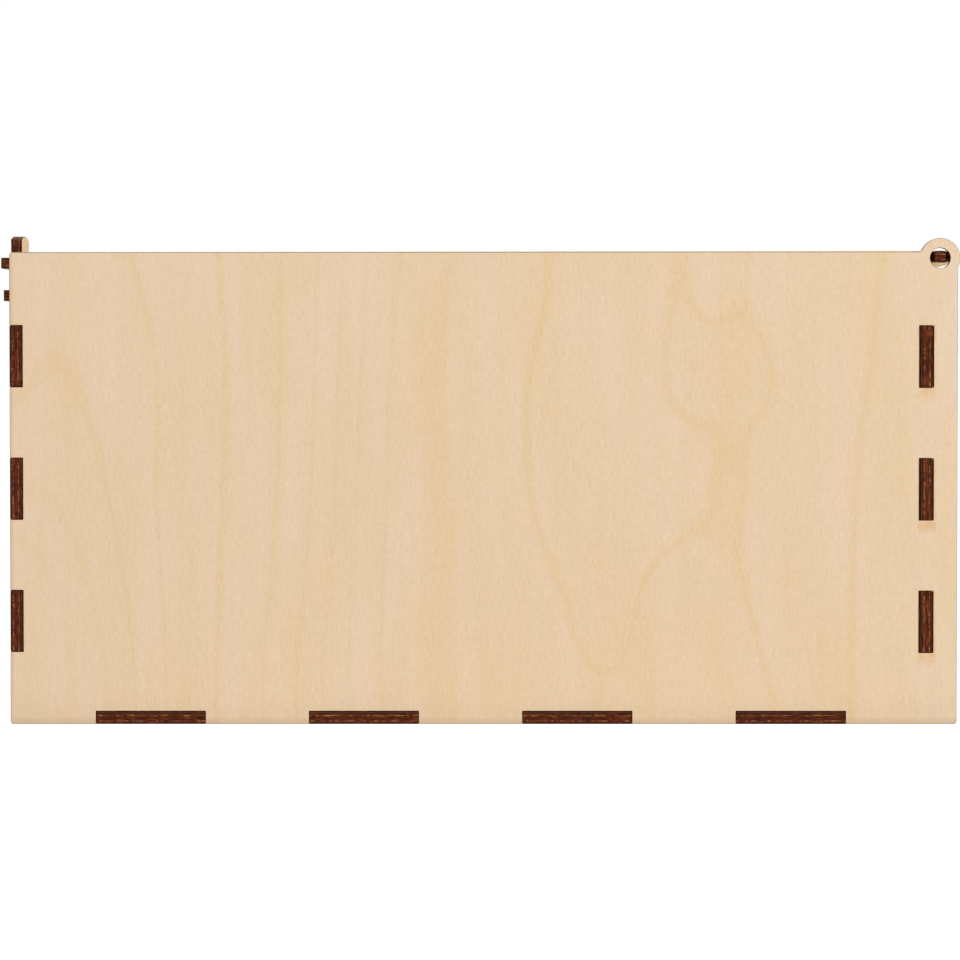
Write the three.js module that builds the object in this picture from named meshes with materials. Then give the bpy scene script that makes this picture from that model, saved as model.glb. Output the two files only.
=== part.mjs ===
// A hinged keepsake box cut from one thickness of birch plywood.
// Millimetres. X runs from the front to the rear, Y from the near side to the far side, Z up.
// The origin is on the floor's underside, midway along and across the side panels.
import * as THREE from 'three';

// The sheet, and the box over its side panels
const ply = 3;
const boxLength = 247.4;
const boxWidth = 180;
const boxHeight = 123.2;
const cornerRadius = 0.8;

// Finger joints between the panels. The back panel stands in closed slots, near their rear side.
const slotCorner = 0.3;
const slotPlay = 0.48;
const tabPlay = 0.1;
const wallSlotLength = 16.15;
const wallTabPitch = 34.6;
const floorSlotLength = 28.7;
const floorTabPitch = 55.8;
const backSlotPlay = 0.9;
const backSlotRearPlay = 0.2;
const backSlotLength = 16.2;
const backSlotDrop = 0.25;

// Hinge: a square pin on each side of the lid, and round it an ear on each side panel
const pinWidth = 2.8;
const pinRise = 0.4;
const pinPlay = 0.2;
const earWall = 2.55;
const earOverhang = 0.6;
const earRise = 3.6;
const earFillet = 1.2;

// Lid. Its tail hangs behind the back panel when it stands open.
const lidSidePlay = 0.5;
const lidTail = 4.8;
const lidTailPlay = 0.28;
const lidFall = 0.1;
const lidSeatGap = 0.3;

// Closure: a key dropped through the lid's tongue and through a bracket on the front panel
const keyStandoff = 3.6;
const keyPlay = 0.35;
const keyHeadWidth = 22;
const keyHeadHeight = 5.8;
const keyArchRise = 1;
const keyShankWidth = 12;
const keyShankCorner = 1.5;
const keyTip = 0.9;
const keySeatGap = 0.3;
const tongueWidth = 30;
const tongueLip = 2.15;
const tongueCorner = 1;
const bracketWidth = 30;
const bracketLip = 1.45;
const bracketCorner = 1;
const bracketDrop = 8.65;
const tenonWidth = 20;
const tenonPlay = 0.1;

// Fineness of the round outlines, and the distance under which two points are one
const arcStepAngle = Math.PI / 24;
const fewestArcSteps = 8;
const samePointShare = 0.001;
const samePoint = ply * samePointShare;

// Places that follow from the sizes above
const frontX = -boxLength / 2;
const rearX = boxLength / 2;
const frontPanelRearX = frontX + ply;
const innerHalfWidth = boxWidth / 2 - ply;
const pinCornerRadius = Math.hypot(pinWidth / 2, ply / 2);
const earHoleRadius = pinRise + pinCornerRadius + pinPlay;
const earRadius = earHoleRadius + earWall;
const earInset = earRadius - earOverhang;
const earDrop = earRadius - earRise;
const earX = rearX - earInset;
const earZ = boxHeight - earDrop;
const hingeX = earX;
const hingeZ = earZ + pinRise;
const backPanelRearX = hingeX - ply / 2 - lidTailPlay;
const backPanelFrontX = backPanelRearX - ply;
const backSlotWidth = ply + backSlotPlay;
const backSlotMiddleX = backPanelRearX + backSlotRearPlay - backSlotWidth / 2;
const lidReach = hingeX - frontX;
const lidAngle = Math.atan(lidFall / lidReach);
const keyMiddleX = frontX - keyStandoff - ply / 2;
const keySlotReach = keyStandoff + ply + keyPlay;
const bracketTopZ = boxHeight - bracketDrop;
const bracketBottomZ = bracketTopZ - ply;

// Height of a level face of the closed lid, given its offset from the middle of the sheet
function lidHeightAt(x, offset) {
  return hingeZ - (hingeX - x) * Math.tan(lidAngle) + offset / Math.cos(lidAngle);
}
const frontPanelTopZ = lidHeightAt(frontX, -ply / 2) - lidSeatGap;
const backPanelTopZ = lidHeightAt(backPanelFrontX, -ply / 2) - lidSeatGap;

// Birch plywood, seen on its sanded faces
const birchColour = 0xe6cca8;
const birchRoughness = 0.78;

// Three ways for a plate to stand: lying flat, facing sideways, and facing the front
const alongX = new THREE.Vector3(1, 0, 0);
const alongY = new THREE.Vector3(0, 1, 0);
const alongZ = new THREE.Vector3(0, 0, 1);
const lyingFlat = new THREE.Matrix4().makeBasis(alongX, alongY, alongZ);
const facingSide = new THREE.Matrix4().makeBasis(alongX, alongZ, alongY.clone().negate());
const facingFront = new THREE.Matrix4().makeBasis(alongY, alongZ, alongX);

// Centres of as many evenly spaced tabs as a length takes
function tabCentres(start, end, pitch) {
  const count = Math.max(1, Math.floor((end - start) / pitch));
  const first = (start + end - (count - 1) * pitch) / 2;
  return Array.from({ length: count }, (_, index) => first + index * pitch);
}

const wallCentres = tabCentres(0, boxHeight, wallTabPitch);
const backCentres = wallCentres.map((z) => z - backSlotDrop);
const floorSideCentres = tabCentres(frontX, backSlotMiddleX + ply / 2, floorTabPitch);
const floorEndCentres = tabCentres(-boxWidth / 2, boxWidth / 2, floorTabPitch);

// Points on an arc from one angle to another, either way round
function arcPoints(x, y, radius, startAngle, endAngle) {
  const sweep = endAngle - startAngle;
  const steps = Math.max(fewestArcSteps, Math.ceil(Math.abs(sweep) / arcStepAngle));
  return Array.from({ length: steps + 1 }, (_, index) => {
    const angle = startAngle + (sweep * index) / steps;
    return [x + radius * Math.cos(angle), y + radius * Math.sin(angle)];
  });
}

// Points round one corner of an outline, between the corners before and after it
function cornerPoints([x, y, radius], before, after) {
  if (!radius) {
    return [[x, y]];
  }
  const back = new THREE.Vector2(before[0] - x, before[1] - y).normalize();
  const ahead = new THREE.Vector2(after[0] - x, after[1] - y).normalize();
  const halfAngle = Math.acos(back.dot(ahead)) / 2;
  const inward = back.clone().add(ahead).setLength(radius / Math.sin(halfAngle));
  const centreX = x + inward.x;
  const centreY = y + inward.y;
  const setback = radius / Math.tan(halfAngle);
  const startAngle = Math.atan2(y + back.y * setback - centreY, x + back.x * setback - centreX);
  const sweep = Math.PI - 2 * halfAngle;
  const turn = back.cross(ahead) < 0 ? 1 : -1;
  return arcPoints(centreX, centreY, radius, startAngle, startAngle + turn * sweep);
}

// A closed outline from its corners, without the points that repeat the one before. Each
// corner is an x, a y and, where it is rounded, a radius.
function outline(corners) {
  const points = [];
  corners.forEach((corner, index) => {
    const before = corners.at(index - 1);
    const after = corners[(index + 1) % corners.length];
    for (const [x, y] of cornerPoints(corner, before, after)) {
      const point = new THREE.Vector2(x, y);
      if (!points.length || points.at(-1).distanceTo(point) > samePoint) {
        points.push(point);
      }
    }
  });
  if (points.at(-1).distanceTo(points[0]) <= samePoint) {
    points.pop();
  }
  return points;
}

// Corners of the tabs along a straight edge of a counter-clockwise outline. At each centre it
// steps out by a tab of the given length, or in by a notch where the step is negative.
function edgeCorners(start, end, centres, length, step) {
  const along = new THREE.Vector2(end[0] - start[0], end[1] - start[1]).normalize();
  const axis = Math.abs(along.x) > Math.abs(along.y) ? 0 : 1;
  const distances = centres.map((centre) => Math.abs(centre - start[axis])).sort((a, b) => a - b);
  const radius = step < 0 ? slotCorner : 0;
  const place = (distance, out) => [
    start[0] + along.x * distance + along.y * out,
    start[1] + along.y * distance - along.x * out,
  ];
  return distances.flatMap((distance) => [
    place(distance - length / 2, 0),
    [...place(distance - length / 2, step), radius],
    [...place(distance + length / 2, step), radius],
    place(distance + length / 2, 0),
  ]);
}

// Corners of a slot about its middle
function slotCorners(x, y, width, height) {
  return [
    [x - width / 2, y - height / 2, slotCorner],
    [x + width / 2, y - height / 2, slotCorner],
    [x + width / 2, y + height / 2, slotCorner],
    [x - width / 2, y + height / 2, slotCorner],
  ];
}

// A flat shape from the corners of its outline and of its holes
function flatShape(corners, holes) {
  const shape = new THREE.Shape(outline(corners));
  shape.holes = holes.map((hole) => new THREE.Path(outline(hole)));
  return shape;
}

// One plate cut from the sheet. Its place is the corner from which its thickness rises.
function cutPlate(name, shape, stance, x, y, z) {
  const geometry = new THREE.ExtrudeGeometry(shape, {
    depth: ply,
    bevelEnabled: false,
  });
  const material = new THREE.MeshStandardMaterial({
    color: birchColour,
    roughness: birchRoughness,
    metalness: 0,
  });
  const mesh = new THREE.Mesh(geometry, material);
  mesh.name = name;
  mesh.quaternion.setFromRotationMatrix(stance);
  mesh.position.set(x, y, z);
  return mesh;
}

// Corners of the ear, from the rear edge up round the hinge hole and down to the top edge,
// with a small fillet on both sides
function earCorners() {
  const span = earRadius + earFillet;
  const rearFilletX = rearX + earFillet;
  const topFilletZ = boxHeight + earFillet;
  const rearAngle = -Math.acos((rearFilletX - earX) / span);
  const topAngle = Math.PI - Math.asin((topFilletZ - earZ) / span);
  const rearFilletZ = earZ + span * Math.sin(rearAngle);
  const topFilletX = earX + span * Math.cos(topAngle);
  return [
    ...arcPoints(rearFilletX, rearFilletZ, earFillet, Math.PI, Math.PI + rearAngle),
    ...arcPoints(earX, earZ, earRadius, rearAngle, topAngle),
    ...arcPoints(topFilletX, topFilletZ, earFillet, topAngle - Math.PI, -Math.PI / 2),
  ];
}

// Side panel: notches for the front panel and the floor, closed slots for the back panel,
// and a round ear with the hinge hole at the upper rear corner
function sidePanelShape() {
  const frontBottom = [frontX, 0, cornerRadius];
  const rearBottom = [rearX, 0, cornerRadius];
  const frontTop = [frontX, boxHeight, cornerRadius];
  const slotDepth = ply + slotPlay;
  const backSlots = backCentres.map((z) => {
    return slotCorners(backSlotMiddleX, z, backSlotWidth, backSlotLength);
  });
  const corners = [
    frontBottom,
    ...edgeCorners(frontBottom, rearBottom, floorSideCentres, floorSlotLength, -slotDepth),
    rearBottom,
    ...earCorners(),
    frontTop,
    ...edgeCorners(frontTop, frontBottom, wallCentres, wallSlotLength, -slotDepth),
  ];
  const hingeHole = arcPoints(earX, earZ, earHoleRadius, 0, 2 * Math.PI);
  return flatShape(corners, [hingeHole, ...backSlots]);
}

// Front and back panels: tabs into both side panels, and notches over the floor's end tabs
function wallPanelShape(topZ, centres, holes) {
  const half = innerHalfWidth;
  const tabLength = wallSlotLength - 2 * tabPlay;
  const slotDepth = ply + slotPlay;
  const corners = [
    [-half, 0],
    ...edgeCorners([-half, 0], [half, 0], floorEndCentres, floorSlotLength, -slotDepth),
    [half, 0],
    ...edgeCorners([half, 0], [half, topZ], centres, tabLength, ply),
    [half, topZ],
    [-half, topZ],
    ...edgeCorners([-half, topZ], [-half, 0], centres, tabLength, ply),
  ];
  return flatShape(corners, holes);
}

// Mortise through the front panel for the bracket's tenon
function bracketMortise() {
  const middleZ = (bracketTopZ + bracketBottomZ) / 2;
  return slotCorners(0, middleZ, tenonWidth + 2 * tenonPlay, ply + 2 * tenonPlay);
}

// Floor: it fills the space between the four walls, with tabs through all of them
function floorShape() {
  const frontNear = [frontPanelRearX, -innerHalfWidth];
  const rearNear = [backPanelFrontX, -innerHalfWidth];
  const rearFar = [backPanelFrontX, innerHalfWidth];
  const frontFar = [frontPanelRearX, innerHalfWidth];
  const tabLength = floorSlotLength - 2 * tabPlay;
  const corners = [
    frontNear,
    ...edgeCorners(frontNear, rearNear, floorSideCentres, tabLength, ply),
    rearNear,
    ...edgeCorners(rearNear, rearFar, floorEndCentres, tabLength, ply),
    rearFar,
    ...edgeCorners(rearFar, frontFar, floorSideCentres, tabLength, ply),
    frontFar,
    ...edgeCorners(frontFar, frontNear, floorEndCentres, tabLength, ply),
  ];
  return flatShape(corners, []);
}

// Slot that the key's shank passes through
function keySlot(x) {
  return slotCorners(x, 0, ply + 2 * keyPlay, keyShankWidth + 2 * keyPlay);
}

// Lid, drawn about its hinge axis: a plain plate with a square pin on each side near the rear,
// and a slotted tongue in the middle of its front edge
function lidShape() {
  const half = innerHalfWidth - lidSidePlay;
  const frontNear = [-lidReach, -half];
  const rearNear = [lidTail, -half];
  const rearFar = [lidTail, half];
  const frontFar = [-lidReach, half];
  const pinLength = lidSidePlay + ply;
  const tongueHalf = tongueWidth / 2;
  const tongueFrontX = -lidReach - keySlotReach - tongueLip;
  const corners = [
    frontNear,
    ...edgeCorners(frontNear, rearNear, [0], pinWidth, pinLength),
    rearNear,
    rearFar,
    ...edgeCorners(rearFar, frontFar, [0], pinWidth, pinLength),
    frontFar,
    [-lidReach, tongueHalf],
    [tongueFrontX, tongueHalf, tongueCorner],
    [tongueFrontX, -tongueHalf, tongueCorner],
    [-lidReach, -tongueHalf],
  ];
  return flatShape(corners, [keySlot(keyMiddleX - hingeX)]);
}

// Bracket: its shoulders bear on the front panel, and its tenon goes through to the inner face
function bracketShape() {
  const half = bracketWidth / 2;
  const tenonHalf = tenonWidth / 2;
  const bracketFrontX = frontX - keySlotReach - bracketLip;
  const corners = [
    [bracketFrontX, -half, bracketCorner],
    [frontX, -half],
    [frontX, -tenonHalf],
    [frontPanelRearX, -tenonHalf],
    [frontPanelRearX, tenonHalf],
    [frontX, tenonHalf],
    [frontX, half],
    [bracketFrontX, half, bracketCorner],
  ];
  return flatShape(corners, [keySlot(keyMiddleX)]);
}

// Key: a wide head with a gently arched top, and a shank that ends just below the bracket
function keyShape(headBottomZ, tipZ) {
  const headHalf = keyHeadWidth / 2;
  const shankHalf = keyShankWidth / 2;
  const archRadius = (headHalf ** 2 + keyArchRise ** 2) / (2 * keyArchRise);
  const archHalfAngle = Math.asin(headHalf / archRadius);
  const archMiddleZ = headBottomZ + keyHeadHeight - archRadius;
  const archStart = Math.PI / 2 - archHalfAngle;
  const archEnd = Math.PI / 2 + archHalfAngle;
  const corners = [
    [-shankHalf, tipZ, keyShankCorner],
    [shankHalf, tipZ, keyShankCorner],
    [shankHalf, headBottomZ],
    [headHalf, headBottomZ],
    ...arcPoints(0, archMiddleZ, archRadius, archStart, archEnd),
    [-headHalf, headBottomZ],
    [-shankHalf, headBottomZ],
  ];
  return flatShape(corners, []);
}

const giftBox = new THREE.Group();

// Fixed carcass
const sideShape = sidePanelShape();
const frontShape = wallPanelShape(frontPanelTopZ, wallCentres, [bracketMortise()]);
const backShape = wallPanelShape(backPanelTopZ, backCentres, []);
giftBox.add(cutPlate('side_panel_near', sideShape, facingSide, 0, -innerHalfWidth, 0));
giftBox.add(cutPlate('side_panel_far', sideShape, facingSide, 0, boxWidth / 2, 0));
giftBox.add(cutPlate('front_panel', frontShape, facingFront, frontX, 0, 0));
giftBox.add(cutPlate('back_panel', backShape, facingFront, backPanelFrontX, 0, 0));
giftBox.add(cutPlate('floor_panel', floorShape(), lyingFlat, 0, 0, 0));
giftBox.add(cutPlate('latch_bracket', bracketShape(), lyingFlat, 0, 0, bracketBottomZ));

// Lid, turned about its hinge axis by its slight fall towards the front
const lidFrame = new THREE.Group();
lidFrame.position.set(hingeX, 0, hingeZ);
lidFrame.rotation.y = -lidAngle;
lidFrame.add(cutPlate('lid_panel', lidShape(), lyingFlat, 0, 0, -ply / 2));
giftBox.add(lidFrame);

// Key, hanging by its head just above the tongue
const keyHeadBottomZ = lidHeightAt(keyMiddleX + ply / 2, ply / 2) + keySeatGap;
const keyTipZ = bracketBottomZ - keyTip;
const dropKeyShape = keyShape(keyHeadBottomZ, keyTipZ);
giftBox.add(cutPlate('latch_key', dropKeyShape, facingFront, keyMiddleX - ply / 2, 0, 0));

export default giftBox;
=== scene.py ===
# Hinged gift box of 3 mm birch plywood, cut by laser: eight flat plates, finger-jointed and glued,
# with a lid that turns on its own square pins and a drop-in key that closes it at the front.
import math

import bmesh
import bpy
from mathutils import Matrix, Vector


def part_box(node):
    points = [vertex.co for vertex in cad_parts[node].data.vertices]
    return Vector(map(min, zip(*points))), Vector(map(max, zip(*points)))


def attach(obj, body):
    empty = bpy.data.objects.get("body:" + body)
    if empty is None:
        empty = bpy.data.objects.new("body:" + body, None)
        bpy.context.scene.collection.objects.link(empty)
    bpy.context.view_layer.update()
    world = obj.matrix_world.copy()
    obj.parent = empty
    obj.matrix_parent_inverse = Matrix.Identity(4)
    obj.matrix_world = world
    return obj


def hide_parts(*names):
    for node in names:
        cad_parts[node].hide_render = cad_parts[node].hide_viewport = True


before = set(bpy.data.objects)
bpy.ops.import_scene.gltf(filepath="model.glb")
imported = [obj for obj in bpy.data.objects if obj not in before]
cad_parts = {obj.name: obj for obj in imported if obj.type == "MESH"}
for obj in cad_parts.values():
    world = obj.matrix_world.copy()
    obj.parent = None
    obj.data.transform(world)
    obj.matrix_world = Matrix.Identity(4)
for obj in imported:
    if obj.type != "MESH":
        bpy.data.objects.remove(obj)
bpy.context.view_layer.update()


# ---- Near side panel --------------------------------------------------------------------------
# The wall with a round ear at its rear top corner, cut by laser from 3 mm birch plywood and sanded.
# Its slots and notches take the tabs of the front, back and floor panels, and it is glued to them.
millimetre = 0.001
merge_reach = 0.001      # mm within which two corners of a plate are one
hair = 0.01              # mm, less than any real step on the plates
rim_ease = 0.08          # mm that the beam burns off each rim, seen as a dark outline
slot_corner = 0.3        # mm radius that the beam leaves in a slot's corner
front_edge = -123.7      # mm, x of the side panels' front edge
slot_pitch = 34.6        # mm between the slots, one over the other
middle_slot = 61.4       # mm, height of the middle slot's middle
other_face = (613, 287)  # mm on the sheet from a plate's first veneer to its second, so they differ


def linear(hex_colour):
    """An sRGB hex colour as the linear colour that a shader socket holds."""
    parts = [int(hex_colour[i:i + 2], 16) / 255 for i in (1, 3, 5)]
    return [p / 12.92 if p <= 0.04045 else ((p + 0.055) / 1.055) ** 2.4 for p in parts] + [1]


def add(tree, kind, settings, sockets):
    """Adds one shader node, with its settings by name and each input as a value or a link."""
    node = tree.nodes.new("ShaderNode" + kind)
    for name, value in settings.items():
        setattr(node, name, value)
    for name, value in sockets.items():
        if isinstance(value, bpy.types.NodeSocket):
            tree.links.new(value, node.inputs[name])
        else:
            node.inputs[name].default_value = value
    return node


def swell_field(tree, sheet, start, swells):
    """The height of the log's rings over the sheet, whose level lines are the veneer's figure.

    A swell is its height, its middle across and along the grain, and its reach across and along.
    """
    total = start
    for height, across, along, reach_across, reach_along in swells:
        place = add(tree, "VectorMath", {"operation": "MULTIPLY_ADD"}, {
            0: sheet,
            1: (1 / reach_across, 1 / reach_along, 0),
            2: (-across / reach_across, -along / reach_along, 0)}).outputs["Vector"]
        square = add(tree, "VectorMath", {"operation": "DOT_PRODUCT"}, {0: place, 1: place})
        fall = add(tree, "Math", {"operation": "POWER"}, {
            0: math.exp(-1), 1: square.outputs["Value"]})
        total = add(tree, "Math", {"operation": "MULTIPLY_ADD"}, {
            0: fall.outputs[0], 1: height, 2: total}).outputs[0]
    return total


def ring_lines(tree, field, lowest, highest, lines):
    """Soft lines where the field passes a level. A line is its level, half width and strength."""
    share = add(tree, "MapRange", {}, {"Value": field, "From Min": lowest, "From Max": highest})
    ramp = add(tree, "ValToRGB", {}, {"Fac": share.outputs[0]})
    ramp.color_ramp.interpolation = "EASE"
    stops = ramp.color_ramp.elements
    stops[0].color = stops[1].color = (0, 0, 0, 1)
    for level, half_width, strength in lines:
        for offset, value in ((-half_width, 0), (0, strength), (half_width, 0)):
            stop = stops.new((level + offset - lowest) / (highest - lowest))
            stop.color = (value, value, value, 1)
    return ramp.outputs["Color"]


def near_figure(tree, sheet):
    """The near panel's figure: straight lines and arches at the front, one looped ring behind."""
    x = add(tree, "SeparateXYZ", {}, {0: sheet}).outputs["X"]
    straight = swell_field(tree, sheet, x, (
        (-27.2, -92.4, 2.6, 25.8, 55.2), (42.0, -137.9, 132.6, 21.6, 83.0),
        (7.1, -20.8, 75.2, 28.2, 67.1), (-8.3, 90.3, 130.3, 62.7, 49.9),
        (-8.0, -82.0, 93.9, 16.4, 33.6), (14.1, -119.5, 3.3, 104.7, 42.9),
        (-8.5, -5.9, 18.3, 8.3, 113.7)))
    left = ring_lines(tree, straight, -116, -30, (
        (-110.5, 0.5, 0.5), (-105.0, 0.9, 0.7), (-94.4, 1.3, 0.75), (-71.0, 2.6, 0.8),
        (-51.8, 1.4, 0.6), (-40.7, 1.0, 0.65), (-33.1, 0.9, 0.45)))
    right = ring_lines(tree, straight, -30, 120, (
        (-26.2, 1.0, 0.45), (-17.8, 1.1, 0.6), (-9.4, 1.3, 0.75), (96.2, 2.1, 0.85)))
    loops = swell_field(tree, sheet, -9, (
        (35.2, 30.5, 73.8, 18.1, 34.0), (19.7, 104.2, 69.3, 41.1, 191.4),
        (-30.3, 45.6, 71.0, 22.0, 19.3), (11.6, 59.9, 121.8, 5.1, 15.6),
        (-19.3, 62.1, 88.5, 14.9, 13.6), (-19.8, 66.3, 26.2, 15.6, 66.3),
        (10.2, 31.4, 24.4, 9.2, 16.6), (28.0, 48.3, 63.0, 10.5, 15.4),
        (23.5, 55.9, 81.1, 14.8, 16.6), (21.4, 32.7, 135.9, 16.7, 25.2),
        (20.5, 71.6, 47.1, 13.9, 54.3), (6.7, 59.9, 55.1, 6.7, 41.5)))
    ring = ring_lines(tree, loops, -12, 12, ((0, 2.0, 0.85),))
    heart = swell_field(tree, sheet, 0, ((1, -126, 12, 22, 46),))
    arch = ring_lines(tree, heart, 0, 1, ((0.5, 0.07, 0.35),))
    blush = swell_field(tree, sheet, 0, (
        (0.35, 30, 117, 6, 8), (0.3, 62, 98, 13, 12), (0.25, 40, 20, 14, 22), (0.2, 74, 60, 9, 40)))
    total = blush
    for lines in (left, right, ring, arch):
        total = add(tree, "Math", {"operation": "MAXIMUM"}, {0: total, 1: lines}).outputs[0]
    return total


def side_scorch_and_foot_shade(tree, sheet, wood):
    """A side panel's wood with the smoke stain round its slots, the browned front and bottom rims,
    and painted shade towards the foot.
    """
    x, z = (add(tree, "SeparateXYZ", {}, {0: sheet}).outputs[axis] for axis in "XY")
    # The three slots are alike, so the height is folded onto the nearest one's middle.
    step = add(tree, "Math", {"operation": "MULTIPLY_ADD"}, {
        0: z, 1: 1 / slot_pitch, 2: -middle_slot / slot_pitch})
    whole = add(tree, "Math", {"operation": "ROUND"}, {0: step.outputs[0]})
    nearest = add(tree, "Clamp", {}, {"Value": whole.outputs[0], "Min": -1, "Max": 1})
    folded = add(tree, "Math", {"operation": "SUBTRACT"}, {
        0: step.outputs[0], 1: nearest.outputs[0]})
    up = add(tree, "Math", {"operation": "MULTIPLY"}, {
        0: folded.outputs[0], 1: slot_pitch}).outputs[0]
    # The stain is patchy over about 3 mm.
    smoke = add(tree, "TexNoise", {}, {
        "Vector": sheet, "Scale": 0.3, "Detail": 2, "Roughness": 0.6})
    rough = add(tree, "MapRange", {}, {
        "Value": smoke.outputs[0], "From Min": 0.35, "From Max": 0.65,
        "To Min": 0.2, "To Max": 1.3}).outputs[0]
    total = 0
    # Middle across and along, half sizes, reach across and along, strength: the rear slots, whose
    # smoke was drawn down and to the rear, then the front notches.
    for middle, low, half_x, half_z, reach_x, reach_z, strength in (
            (115.8, -1.4, 1.7, 8, 1.2, 3.1, 0.45), (-122, 0, 1.85, 8, 0.7, 1.4, 0.2)):
        place = add(tree, "CombineXYZ", {}, {"X": x, "Y": up})
        off = add(tree, "VectorMath", {"operation": "SUBTRACT"}, {
            0: place.outputs[0], 1: (middle, low, 0)})
        far = add(tree, "VectorMath", {"operation": "ABSOLUTE"}, {0: off.outputs[0]})
        past = add(tree, "VectorMath", {"operation": "SUBTRACT"}, {
            0: far.outputs[0], 1: (half_x, half_z, 0)})
        outside = add(tree, "VectorMath", {"operation": "MAXIMUM"}, {0: past.outputs[0]})
        spread = add(tree, "VectorMath", {"operation": "MULTIPLY"}, {
            0: outside.outputs[0], 1: (1 / reach_x, 1 / reach_z, 0)})
        length = add(tree, "VectorMath", {"operation": "LENGTH"}, {0: spread.outputs[0]})
        stain = add(tree, "MapRange", {"interpolation_type": "SMOOTHSTEP"}, {
            "Value": length.outputs["Value"], "From Min": 0, "From Max": 1,
            "To Min": strength, "To Max": 0})
        total = add(tree, "Math", {"operation": "MAXIMUM"}, {
            0: stain.outputs[0], 1: total}).outputs[0]
    total = add(tree, "Math", {"operation": "MULTIPLY"}, {0: total, 1: rough}).outputs[0]
    stained = add(tree, "Mix", {"data_type": "RGBA"}, {
        "Factor": total, 6: wood, 7: linear("#DEA960")}).outputs[2]
    # The front rim is browned for 1.2 mm and the bottom rim for 3 mm, and painted shade darkens the
    # foot a little for 9 mm.
    from_front = add(tree, "Math", {"operation": "SUBTRACT"}, {0: x, 1: front_edge})
    from_foot = add(tree, "Math", {"operation": "MULTIPLY"}, {0: z, 1: 0.4})
    nearest_side = add(tree, "Math", {"operation": "MINIMUM"}, {
        0: from_front.outputs[0], 1: from_foot.outputs[0]})
    rim = add(tree, "MapRange", {"interpolation_type": "SMOOTHSTEP"}, {
        "Value": nearest_side.outputs[0], "From Min": 0, "From Max": 1.2,
        "To Min": 0.33, "To Max": 0})
    # Painted shade: the wood grows a little darker towards the foot, in a greyish brown.
    foot = add(tree, "MapRange", {"interpolation_type": "SMOOTHSTEP"}, {
        "Value": z, "From Min": 0, "From Max": 9, "To Min": 0.11, "To Max": 0})
    browned_rims_and_foot_shade = add(tree, "Math", {"operation": "MAXIMUM"}, {0: rim.outputs[0], 1: foot.outputs[0]})
    return add(tree, "Mix", {"data_type": "RGBA"}, {
        "Factor": browned_rims_and_foot_shade.outputs[0], 6: stained, 7: linear("#A28A70")}).outputs[2]


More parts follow.
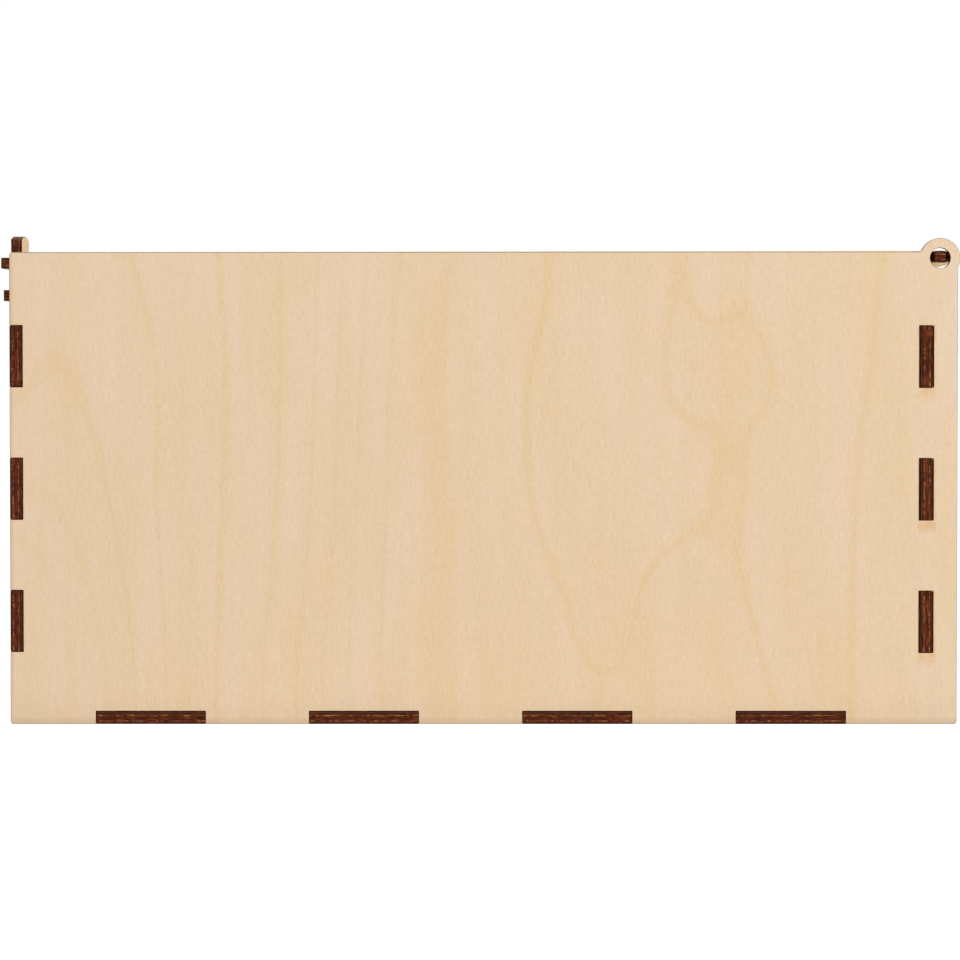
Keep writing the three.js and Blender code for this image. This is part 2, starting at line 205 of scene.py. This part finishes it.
def sanded_birch(name, figure, scorch_and_shade):
    """Rotary-cut birch veneer, sanded and left raw: pale straw, faint figure, a dry matt sheen."""
    material = bpy.data.materials.new(name)
    material.use_nodes = True
    tree = material.node_tree
    surface = tree.nodes["Principled BSDF"]
    sheet = add(tree, "Attribute", {"attribute_name": "sheet"}, {}).outputs["Vector"]
    # Drifts of tone about 14 mm across the grain, and the ripple of single rings 4 mm across it.
    drift_place = add(tree, "Mapping", {}, {"Vector": sheet, "Scale": (1 / 14, 1 / 70, 1)})
    drift = add(tree, "TexNoise", {}, {"Vector": drift_place.outputs[0], "Scale": 1, "Detail": 1})
    ripple_place = add(tree, "Mapping", {}, {"Vector": sheet, "Scale": (1 / 4, 1 / 60, 1)})
    ripple = add(tree, "TexNoise", {}, {
        "Vector": ripple_place.outputs[0], "Scale": 1, "Detail": 3, "Roughness": 0.8})
    drifted = add(tree, "Mix", {"data_type": "FLOAT"}, {
        "Factor": 0.5, 2: drift.outputs[0], 3: ripple.outputs[0]})
    # Fibre streaks: real ones are 0.05 mm wide, drawn 0.4 mm wide and 4 mm long so that they show.
    fibre_place = add(tree, "Mapping", {}, {"Vector": sheet, "Scale": (1 / 0.4, 1 / 4, 1)})
    fibre = add(tree, "TexNoise", {}, {
        "Vector": fibre_place.outputs[0], "Scale": 1, "Detail": 3, "Roughness": 0.65})
    # Sanding with 180 grit leaves the fibre ends fuzzy, under a millimetre across.
    fuzz_place = add(tree, "Mapping", {}, {"Vector": sheet, "Scale": (1 / 0.75, 1 / 1.35, 1)})
    fuzz = add(tree, "TexNoise", {}, {
        "Vector": fuzz_place.outputs[0], "Scale": 1, "Detail": 3, "Roughness": 0.75})
    # Vessel pores: short dark dashes 0.2 mm wide and 2 mm long, few of them.
    pore_place = add(tree, "Mapping", {}, {"Vector": sheet, "Scale": (1 / 0.45, 1 / 3.2, 1)})
    pore = add(tree, "TexVoronoi", {}, {"Vector": pore_place.outputs[0], "Scale": 1})
    dash = add(tree, "MapRange", {"interpolation_type": "SMOOTHSTEP"}, {
        "Value": pore.outputs["Distance"], "From Min": 0.05, "From Max": 0.28,
        "To Min": 1, "To Max": 0}).outputs[0]
    pore_pick = add(tree, "SeparateColor", {}, {"Color": pore.outputs["Color"]})
    few = add(tree, "Math", {"operation": "GREATER_THAN"}, {
        0: pore_pick.outputs["Red"], 1: 0.72}).outputs[0]
    dashes = add(tree, "Math", {"operation": "MULTIPLY"}, {0: dash, 1: few}).outputs[0]
    tone = add(tree, "ValToRGB", {}, {"Fac": drifted.outputs[0]})
    tone.color_ramp.elements[0].position = 0.3
    tone.color_ramp.elements[0].color = linear("#E5C89F")
    tone.color_ramp.elements[1].position = 0.7
    tone.color_ramp.elements[1].color = linear("#E8CFB3")
    late = add(tree, "Math", {"operation": "MULTIPLY"}, {0: figure(tree, sheet), 1: 0.5})
    ringed = add(tree, "Mix", {"data_type": "RGBA"}, {
        "Factor": late.outputs[0], 6: tone.outputs[0], 7: linear("#E3C08B")}).outputs[2]
    pored = add(tree, "Mix", {"data_type": "RGBA"}, {
        "Factor": add(tree, "Math", {"operation": "MULTIPLY"}, {0: dashes, 1: 0.14}).outputs[0],
        6: ringed, 7: linear("#B58C62")}).outputs[2]
    # Fibre and fuzz lighten and darken the wood without changing its hue.
    both = add(tree, "Math", {"operation": "ADD"}, {0: fibre.outputs[0], 1: fuzz.outputs[0]})
    grain = add(tree, "Math", {"operation": "SUBTRACT"}, {0: both.outputs[0], 1: 1})
    fibred = add(tree, "VectorMath", {"operation": "MULTIPLY_ADD"}, {
        0: grain.outputs[0], 1: (0.14, 0.145, 0.16), 2: pored}).outputs[0]
    # Where it is given: the smoke stain, the browned rims and the painted shade towards the foot.
    if scorch_and_shade:
        fibred = scorch_and_shade(tree, sheet, fibred)
    tree.links.new(fibred, surface.inputs["Base Color"])
    dull = add(tree, "MapRange", {}, {
        "Value": fibre.outputs[0], "From Min": 0.2, "From Max": 0.8,
        "To Min": 0.58, "To Max": 0.72})
    tree.links.new(dull.outputs[0], surface.inputs["Roughness"])
    surface.inputs["IOR"].default_value = 1.45
    height = add(tree, "Math", {"operation": "SUBTRACT"}, {0: fibre.outputs[0], 1: dashes})
    relief = add(tree, "Bump", {}, {
        "Height": height.outputs[0], "Strength": 0.35, "Distance": 0.03 * millimetre})
    tree.links.new(relief.outputs[0], surface.inputs["Normal"])
    return material


def charred_ply_edge(name):
    """Three plies burnt through by the beam: dull dark red-brown, patches of soot, glue specks."""
    material = bpy.data.materials.new(name)
    material.use_nodes = True
    tree = material.node_tree
    surface = tree.nodes["Principled BSDF"]
    sheet = add(tree, "Attribute", {"attribute_name": "sheet"}, {}).outputs["Vector"]
    depth = add(tree, "SeparateXYZ", {}, {0: sheet}).outputs["Z"]
    # Char lies in streaks along the plies, 0.28 mm thick and about 3 mm long.
    streak_place = add(tree, "Mapping", {}, {"Vector": sheet, "Scale": (1 / 3, 1 / 3, 1 / 0.28)})
    streak = add(tree, "TexNoise", {}, {
        "Vector": streak_place.outputs[0], "Scale": 1, "Detail": 3, "Roughness": 0.6})
    # The pulsed beam leaves fine ribs through the thickness, 0.35 mm apart.
    rib_place = add(tree, "Mapping", {}, {"Vector": sheet, "Scale": (1 / 0.35, 1 / 0.35, 1 / 2.5)})
    rib = add(tree, "TexNoise", {}, {"Vector": rib_place.outputs[0], "Scale": 1, "Detail": 1})
    char = add(tree, "ValToRGB", {}, {"Fac": streak.outputs[0]})
    stops = char.color_ramp.elements
    stops[0].position, stops[0].color = 0.37, linear("#2F0D04")
    stops[1].position, stops[1].color = 0.65, linear("#7F3F1A")
    middle = stops.new(0.51)
    middle.color = linear("#54210A")
    soot = add(tree, "TexNoise", {}, {"Vector": sheet, "Scale": 0.22, "Detail": 1})
    patch = add(tree, "MapRange", {"interpolation_type": "SMOOTHSTEP"}, {
        "Value": soot.outputs[0], "From Min": 0.5, "From Max": 0.64,
        "To Min": 0, "To Max": 0.5})
    sooted = add(tree, "Mix", {"data_type": "RGBA"}, {
        "Factor": patch.outputs[0], 6: char.outputs[0], 7: linear("#401C10")}).outputs[2]
    # Light dashes where the glue lines crack, 0.8 mm under each face of the 3 mm sheet.
    from_core = add(tree, "Math", {"operation": "SUBTRACT"}, {0: depth, 1: 1.5})
    core_off = add(tree, "Math", {"operation": "ABSOLUTE"}, {0: from_core.outputs[0]})
    from_line = add(tree, "Math", {"operation": "SUBTRACT"}, {0: core_off.outputs[0], 1: 0.7})
    line_off = add(tree, "Math", {"operation": "ABSOLUTE"}, {0: from_line.outputs[0]})
    glue_line = add(tree, "MapRange", {"interpolation_type": "SMOOTHSTEP"}, {
        "Value": line_off.outputs[0], "From Min": 0.05, "From Max": 0.22,
        "To Min": 1, "To Max": 0})
    fleck_place = add(tree, "Mapping", {}, {"Vector": sheet, "Scale": (1 / 1.1, 1 / 1.1, 1 / 0.5)})
    fleck = add(tree, "TexNoise", {}, {
        "Vector": fleck_place.outputs[0], "Scale": 1, "Detail": 4, "Roughness": 0.75})
    fleck_share = add(tree, "MapRange", {"interpolation_type": "SMOOTHSTEP"}, {
        "Value": fleck.outputs[0], "From Min": 0.46, "From Max": 0.66,
        "To Min": 0, "To Max": 0.85})
    flecked = add(tree, "Math", {"operation": "MULTIPLY"}, {
        0: fleck_share.outputs[0], 1: glue_line.outputs[0]})
    glued = add(tree, "Mix", {"data_type": "RGBA"}, {
        "Factor": flecked.outputs[0], 6: sooted, 7: linear("#BB865A")}).outputs[2]
    # The first and last third of a millimetre are burnt blackest.
    rim = add(tree, "MapRange", {"interpolation_type": "SMOOTHSTEP"}, {
        "Value": core_off.outputs[0], "From Min": 1.15, "From Max": 1.45,
        "To Min": 1, "To Max": 0.45})
    ribbed = add(tree, "MapRange", {}, {
        "Value": rib.outputs[0], "From Min": 0.3, "From Max": 0.7, "To Min": 0.82, "To Max": 1.15})
    light = add(tree, "Math", {"operation": "MULTIPLY"}, {0: rim.outputs[0], 1: ribbed.outputs[0]})
    burnt = add(tree, "VectorMath", {"operation": "SCALE"}, {
        0: glued, "Scale": light.outputs[0]}).outputs[0]
    tree.links.new(burnt, surface.inputs["Base Color"])
    surface.inputs["Roughness"].default_value = 0.6
    surface.inputs["IOR"].default_value = 1.5
    surface.inputs["Specular IOR Level"].default_value = 0.08
    surface.inputs["Sheen Weight"].default_value = 0.05
    surface.inputs["Sheen Roughness"].default_value = 0.45
    surface.inputs["Sheen Tint"].default_value = linear("#C08050")
    relief = add(tree, "Bump", {}, {
        "Height": streak.outputs[0], "Strength": 0.6, "Distance": 0.08 * millimetre})
    tree.links.new(relief.outputs[0], surface.inputs["Normal"])
    return material


def laser_cut_plate(node, name, body, inward, grain, place, veneers, ease=rim_ease, lips=()):
    """The node's plate with its doubles merged and its rims eased, laid out on its birch sheet.

    inward points from the first face to the second. Each corner keeps its place on the sheet in
    mm: across the grain, along it, and the depth under the first face. A burnt lip on slot walls
    of a side panel is the axis that they face along and, in mm, their place on it, how far the lip
    leans out, and the low and high end of the part of the panel where they are.
    """
    inward, grain = Vector(inward), Vector(grain)
    across = inward.cross(grain)
    solid = bmesh.new()
    solid.from_mesh(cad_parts[node].data)
    bmesh.ops.remove_doubles(solid, verts=solid.verts, dist=merge_reach * millimetre)
    for axis, wall, lean, low, high in lips:
        outer_y = max((vertex.co.y for vertex in solid.verts), key=abs)
        under_lip = outer_y - math.copysign(lean, outer_y) * millimetre
        low_place, high_place = sorted((wall - math.copysign(hair, lean), wall + lean))
        walls = [face for face in solid.faces if all(
            low_place < vertex.co[axis] / millimetre < high_place
            and low < vertex.co[2 - axis] / millimetre < high for vertex in face.verts)]
        edges = dict.fromkeys(edge for face in walls for edge in face.edges)
        corners = dict.fromkeys(vertex for face in walls for vertex in face.verts)
        cut = bmesh.ops.bisect_plane(
            solid, geom=[*walls, *edges, *corners], plane_co=(0, under_lip, 0), plane_no=(0, 1, 0))
        corners.update(dict.fromkeys(
            part for part in cut["geom_cut"] if isinstance(part, bmesh.types.BMVert)))
        ends = [vertex.co[2 - axis] for vertex in corners
                if abs(vertex.co[axis] / millimetre - wall) > slot_corner - hair]
        for vertex in corners:
            if abs(vertex.co.y) < abs(under_lip) + hair * millimetre:
                vertex.co[axis] = (wall + lean) * millimetre
                end = min(ends, key=lambda place: abs(place - vertex.co[2 - axis]))
                if abs(end - vertex.co[2 - axis]) < (slot_corner + hair) * millimetre:
                    vertex.co[2 - axis] = end
        bmesh.ops.remove_doubles(solid, verts=solid.verts, dist=merge_reach * millimetre)
    # The loose triangles are joined from the foot up, which leaves no seam at a rounded corner.
    solid.edges.sort(key=lambda edge: edge.verts[0].co.z + edge.verts[1].co.z)
    bmesh.ops.dissolve_limit(
        solid, angle_limit=math.radians(1), verts=solid.verts, edges=solid.edges)
    rims = [edge for edge in solid.edges if edge.calc_face_angle() > math.radians(50)]
    bmesh.ops.bevel(
        solid, geom=rims, offset=ease * millimetre, offset_type="OFFSET", segments=1,
        profile=0.5, affect="EDGES", clamp_overlap=False, loop_slide=False, material=-1)
    first_face = min(vertex.co.dot(inward) for vertex in solid.verts)
    sheet = solid.loops.layers.float_vector.new("sheet")
    for face in solid.faces:
        facing = face.normal.dot(inward)
        face.material_index = 0 if facing < -0.99 else 1 if facing > 0.99 else 2
        turned = face.material_index == 1
        for loop in face.loops:
            point = loop.vert.co
            loop[sheet] = (
                point.dot(across) / millimetre + place[0] + other_face[0] * turned,
                point.dot(grain) / millimetre + place[1] + other_face[1] * turned,
                (point.dot(inward) - first_face) / millimetre)
    mesh = bpy.data.meshes.new(name)
    solid.to_mesh(mesh)
    solid.free()
    mesh.set_sharp_from_angle(angle=math.radians(30))
    for face in mesh.polygons:
        face.use_smooth = face.material_index == 2
    for material in (*veneers, edge_char):
        mesh.materials.append(material)
    plate = bpy.data.objects.new(name, mesh)
    bpy.context.scene.collection.objects.link(plate)
    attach(plate, body)
    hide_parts(node)
    return plate


def sheet_figure(tree, sheet):
    """Figure of the rest of the sheet: ring lines that wander along the grain, some into arches."""
    x = add(tree, "SeparateXYZ", {}, {0: sheet}).outputs["X"]
    wander_place = add(tree, "Mapping", {}, {"Vector": sheet, "Scale": (1 / 95, 1 / 260, 1 / 900)})
    wander = add(tree, "TexNoise", {}, {
        "Vector": wander_place.outputs[0], "Scale": 1, "Detail": 1.5})
    rings = add(tree, "Math", {"operation": "MULTIPLY_ADD"}, {0: wander.outputs[0], 1: 190, 2: x})
    # One ring line to about 12 mm of veneer, unevenly.
    turn = add(tree, "Math", {"operation": "MULTIPLY"}, {0: rings.outputs[0], 1: 1 / 12})
    line = add(tree, "TexNoise", {"noise_dimensions": "1D"}, {
        "W": turn.outputs[0], "Scale": 1, "Detail": 1})
    off = add(tree, "Math", {"operation": "SUBTRACT"}, {0: line.outputs[0], 1: 0.5})
    size = add(tree, "Math", {"operation": "ABSOLUTE"}, {0: off.outputs[0]})
    return add(tree, "MapRange", {"interpolation_type": "SMOOTHSTEP"}, {
        "Value": size.outputs[0], "From Min": 0, "From Max": 0.035,
        "To Min": 0.85, "To Max": 0}).outputs[0]


edge_char = charred_ply_edge("laser_charred_birch_ply_edge")
near_veneer = sanded_birch("sanded_birch_veneer_near_panel", near_figure, side_scorch_and_foot_shade)
plain_veneer = sanded_birch("sanded_birch_veneer", sheet_figure, None)
# The beam burns a lip along a slot where it enters, on the walls that stand clear of the tabs: the
# rear slots' front walls, the front notches' rear walls and the floor notches' tops.
slot_lips = ((0, 113.618, 0.5, 15, 110), (0, -120.22, -0.4, 10, 110), (2, 3.48, -0.4, -110, 110))
laser_cut_plate(
    "side_panel_near", "near_side_panel", "box", (0, 1, 0), (0, 0, 1), (0, 0),
    (near_veneer, plain_veneer), lips=slot_lips)


# ---- Far side panel ---------------------------------------------------------------------------
# The near panel's twin on the other side, cut from another part of the same sheet and glued over
# the same tabs. Its outer face has the same smoke stain round its slots.
far_veneer = sanded_birch("sanded_birch_veneer_far_panel", sheet_figure, side_scorch_and_foot_shade)
laser_cut_plate(
    "side_panel_far", "far_side_panel", "box", (0, 1, 0), (0, 0, 1), (0, 0),
    (plain_veneer, far_veneer), lips=slot_lips)


# ---- Front panel and back panel ---------------------------------------------------------------
# Two walls of the same plywood with three tabs at each end, pushed through the side panels' slots
# and glued. The front one is pierced for the latch bracket, and both for the floor's tabs.
laser_cut_plate(
    "front_panel", "front_wall_panel", "box", (1, 0, 0), (0, 0, 1), (900, 40),
    (plain_veneer, plain_veneer))
laser_cut_plate(
    "back_panel", "back_wall_panel", "box", (1, 0, 0), (0, 0, 1), (1240, 310),
    (plain_veneer, plain_veneer))


# ---- Floor panel ------------------------------------------------------------------------------
# The bottom plate, whose tabs reach through all four walls and end flush with them. It is glued in
# with the walls and its underside is what the box rests on.
laser_cut_plate(
    "floor_panel", "base_panel", "box", (0, 0, 1), (0, 1, 0), (350, 1500),
    (plain_veneer, plain_veneer))


# ---- Latch bracket ----------------------------------------------------------------------------
# A small slotted plate that stands out of the front panel, held by a tenon glued through the wall.
# The key's shank drops through its slot.
laser_cut_plate(
    "latch_bracket", "closure_bracket", "box", (0, 0, 1), (0, 1, 0), (80, 2100),
    (plain_veneer, plain_veneer))


# ---- Lid --------------------------------------------------------------------------------------
# One plate with two square pins that turn in the ears' round holes, a tail behind the hinge and a
# slotted tongue at the front. It isn't glued to anything, and the rims of its long sides are sanded
# to bare wood, so that it doesn't rub.
lid_play = 0.5       # mm between the lid's long side and the side panel
lid_rim_ease = 0.24  # mm sanded off the lid's rims
rim_reach = 0.3      # mm in from the lid's long side, in which its sanded rims lie
lid_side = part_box("side_panel_far")[0][1] - lid_play * millimetre
lid = laser_cut_plate(
    "lid_panel", "hinged_lid", "lid", (0, 0, 1), (0, 1, 0), (1700, 2600),
    (plain_veneer, plain_veneer), ease=lid_rim_ease)
for facet in lid.data.polygons:
    sanded = lid_side - rim_reach * millimetre < abs(facet.center.y) < lid_side
    if sanded and 0.3 < abs(facet.normal.z) < 0.99:
        facet.material_index = 1 if facet.normal.z > 0 else 0


# ---- Latch key --------------------------------------------------------------------------------
# The drop-in key: a wide arched head to hold it by, and a tapered shank through the lid's tongue
# and the bracket. It is loose, and its weight keeps it down.
laser_cut_plate(
    "latch_key", "drop_in_key", "key", (1, 0, 0), (0, 0, 1), (2300, 640),
    (plain_veneer, plain_veneer))


# ---- Table top, lamps and camera --------------------------------------------------------------
# A white table seen against white, two large soft lamps, and a long lens a little under the lid's
# level that looks slightly down.
# The table lies a twentieth of a millimetre under the box's foot, so that the two don't flicker.
table_side, table_drop = 30, 0.05 * millimetre
floor_mesh = bpy.data.meshes.new("table_top")
table = bmesh.new()
bmesh.ops.create_grid(table, x_segments=1, y_segments=1, size=table_side)
bmesh.ops.translate(table, vec=(0, 0, -table_drop), verts=table.verts)
table.to_mesh(floor_mesh)
table.free()
table_top = bpy.data.objects.new("table_top", floor_mesh)
bpy.context.scene.collection.objects.link(table_top)


def white_rays(tree):
    """One for the rays that should see plain white: the camera's own, mirrored or let through."""
    rays = add(tree, "LightPath", {}, {})
    seen = add(tree, "Math", {"operation": "MAXIMUM"}, {
        0: rays.outputs["Is Camera Ray"], 1: rays.outputs["Is Glossy Ray"]})
    return add(tree, "Math", {"operation": "MAXIMUM"}, {
        0: seen.outputs[0], 1: rays.outputs["Is Transmission Ray"]}).outputs[0]


# Matt white card: its glow lifts it to white for the camera, and the box's soft shadow stays on it.
white_card = bpy.data.materials.new("white_card")
white_card.use_nodes = True
card = white_card.node_tree
card_surface = card.nodes["Principled BSDF"]
card_surface.inputs["Base Color"].default_value = linear("#EDEDED")
card_surface.inputs["Roughness"].default_value = 0.9
card_surface.inputs["Specular IOR Level"].default_value = 0
card_surface.inputs["Emission Color"].default_value = (1, 1, 1, 1)
glow = add(card, "Math", {"operation": "MULTIPLY"}, {0: white_rays(card), 1: 0.62})
card.links.new(glow.outputs[0], card_surface.inputs["Emission Strength"])
floor_mesh.materials.append(white_card)

# The room is white to the camera and lights the box at half that strength.
white_room = bpy.data.worlds.new("white_room")
bpy.context.scene.world = white_room
white_room.use_nodes = True
room = white_room.node_tree
level = add(room, "MapRange", {}, {"Value": white_rays(room), "To Min": 0.5, "To Max": 1})
room.nodes["Background"].inputs["Color"].default_value = (1, 1, 1, 1)
room.links.new(level.outputs[0], room.nodes["Background"].inputs["Strength"])

# Each lamp is a square: its place and side in metres, and its watts. Both aim at the box's middle.
lamp_aim = Vector((0, 0, 0.06))
for lamp_name, spot, size, watts in (
        ("key_lamp", (1.5, -1.0, 0.9), 1.2, 18.8), ("fill_lamp", (-1.0, -1.7, 0.8), 1.4, 9.4)):
    lamp_data = bpy.data.lights.new(lamp_name, "AREA")
    lamp_data.size = size
    lamp_data.energy = watts
    lamp = bpy.data.objects.new(lamp_name, lamp_data)
    lamp.location = spot
    lamp.rotation_euler = (lamp_aim - lamp.location).to_track_quat("-Z", "Y").to_euler()
    bpy.context.scene.collection.objects.link(lamp)

# The lens and the turns are fitted to the near panel's edges, slots and hinge hole.
camera_data = bpy.data.cameras.new("camera")
camera_data.lens = 213.935
camera_data.sensor_width = 36
camera_data.clip_end = 200
camera_data.shift_x, camera_data.shift_y = 0.0223, 0.1312
camera = bpy.data.objects.new("camera", camera_data)
turn_left, look_down, roll = math.radians(0.686), math.radians(2.348), math.radians(-0.034)
camera.matrix_world = Matrix.Translation((0.0114, -1.5798, 0.092)) @ (
    Matrix.Rotation(turn_left, 4, "Z") @ Matrix.Rotation(math.pi / 2 - look_down, 4, "X")
    @ Matrix.Rotation(roll, 4, "Z"))
bpy.context.scene.collection.objects.link(camera)
bpy.context.scene.camera = camera
bpy.context.scene.view_settings.view_transform = "Standard"
